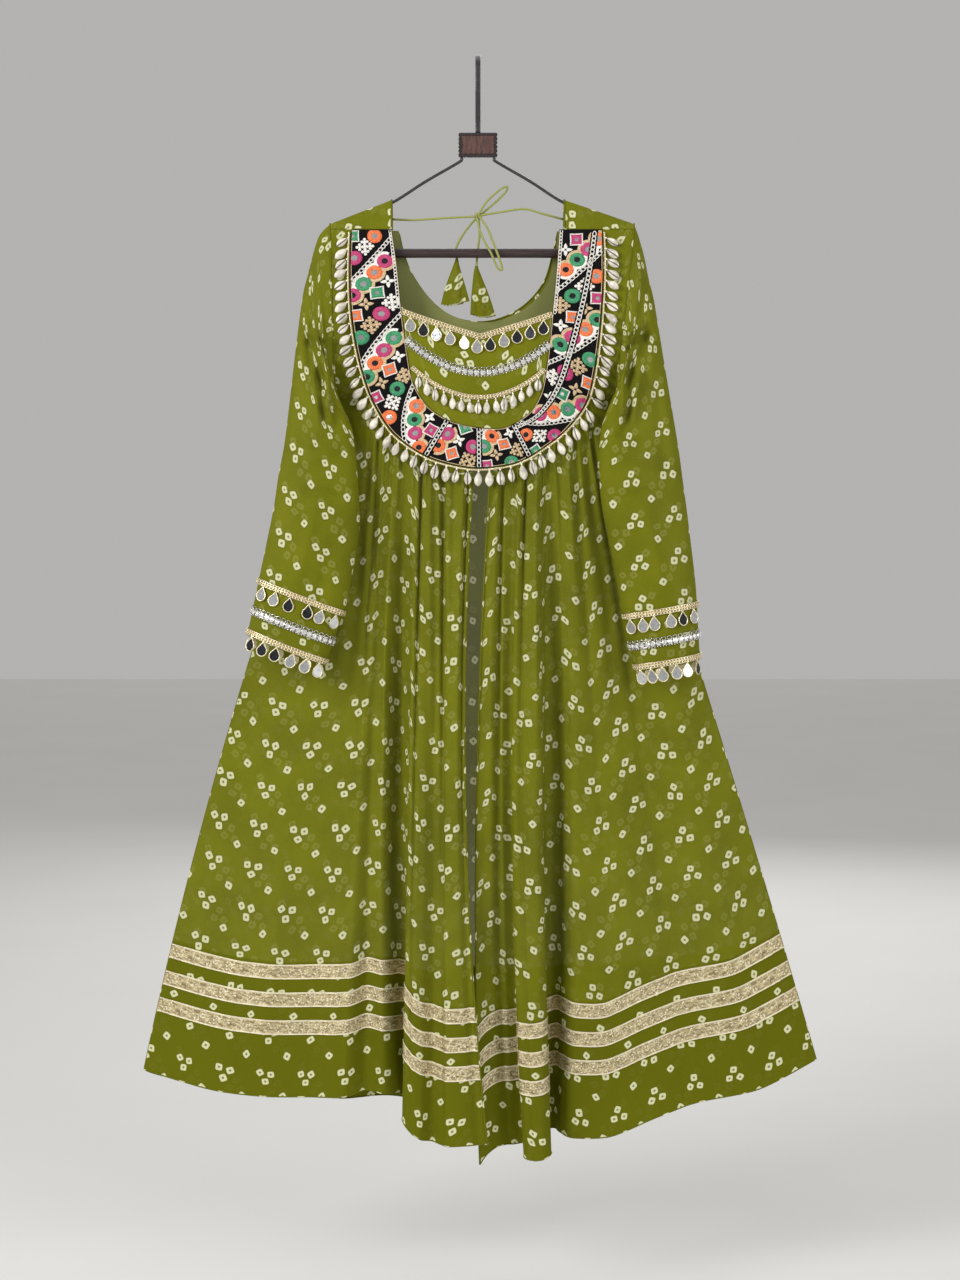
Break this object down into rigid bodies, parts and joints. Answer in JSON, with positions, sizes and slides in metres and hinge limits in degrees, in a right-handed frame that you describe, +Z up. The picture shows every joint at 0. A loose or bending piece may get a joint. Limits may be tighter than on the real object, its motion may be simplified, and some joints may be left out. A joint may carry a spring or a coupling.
{
  "type": "bandhani kurti on a hanger",
  "caption": "Long sheer bandhani kurti with an embroidered U band, shell and mirror trims, a front slit and full sleeves, hung on a wooden-bar hanger.",
  "frame": {"origin": "point where the hook's inner top bears on its rail", "axes": "+Z up, front of the kurti towards -Y, +X to the right seen from the front"},
  "size_m": [0.8873, 0.1726, 1.4251],
  "materials": {
    "georgette": "matte",
    "facing_cloth": "matte",
    "embroidered_band": "matte",
    "gold_mirror_lace": "gloss",
    "silver_chain_trim": "gloss",
    "cowrie_shell": "gloss",
    "gota_foil": "satin",
    "cord_cloth": "matte",
    "black_metal": "satin",
    "block_wood": "satin",
    "bar_wood": "satin"
  },
  "bodies": {
    "root": {"front_left": "georgette", "front_right": "georgette", "back_bodice": "georgette", "back_skirt": "georgette", "front_yoke": "georgette", "shoulder_left": "georgette", "shoulder_right": "georgette", "sleeve_left": "georgette", "sleeve_right": "georgette", "tassel_left": "georgette", "tassel_right": "georgette", "back_neck_facing": "facing_cloth", "embroidered_band": "embroidered_band", "neck_lace": "gold_mirror_lace", "neck_chain": "silver_chain_trim", "cowrie_lace": "cowrie_shell", "cowrie_fringe": "cowrie_shell", "gota_front_left_1": "gota_foil", "gota_front_left_2": "gota_foil", "gota_front_left_3": "gota_foil", "gota_front_right_1": "gota_foil", "gota_front_right_2": "gota_foil", "gota_front_right_3": "gota_foil", "gota_back_1": "gota_foil", "gota_back_2": "gota_foil", "gota_back_3": "gota_foil", "cuff_lace_upper_left": "gold_mirror_lace", "cuff_chain_left": "silver_chain_trim", "cuff_lace_hem_left": "gold_mirror_lace", "cuff_lace_upper_right": "gold_mirror_lace", "cuff_chain_right": "silver_chain_trim", "cuff_lace_hem_right": "gold_mirror_lace", "tie_left": "cord_cloth", "tie_right": "cord_cloth", "bow_loop_up": "cord_cloth", "bow_loop_down": "cord_cloth", "tail_left": "cord_cloth", "tail_right": "cord_cloth", "tie_knot": "cord_cloth", "hanger_hook": "black_metal", "hanger_arm_left": "black_metal", "hanger_arm_right": "black_metal", "hanger_block": "block_wood", "hanger_bar": "bar_wood"}
  },
  "joints": []
}
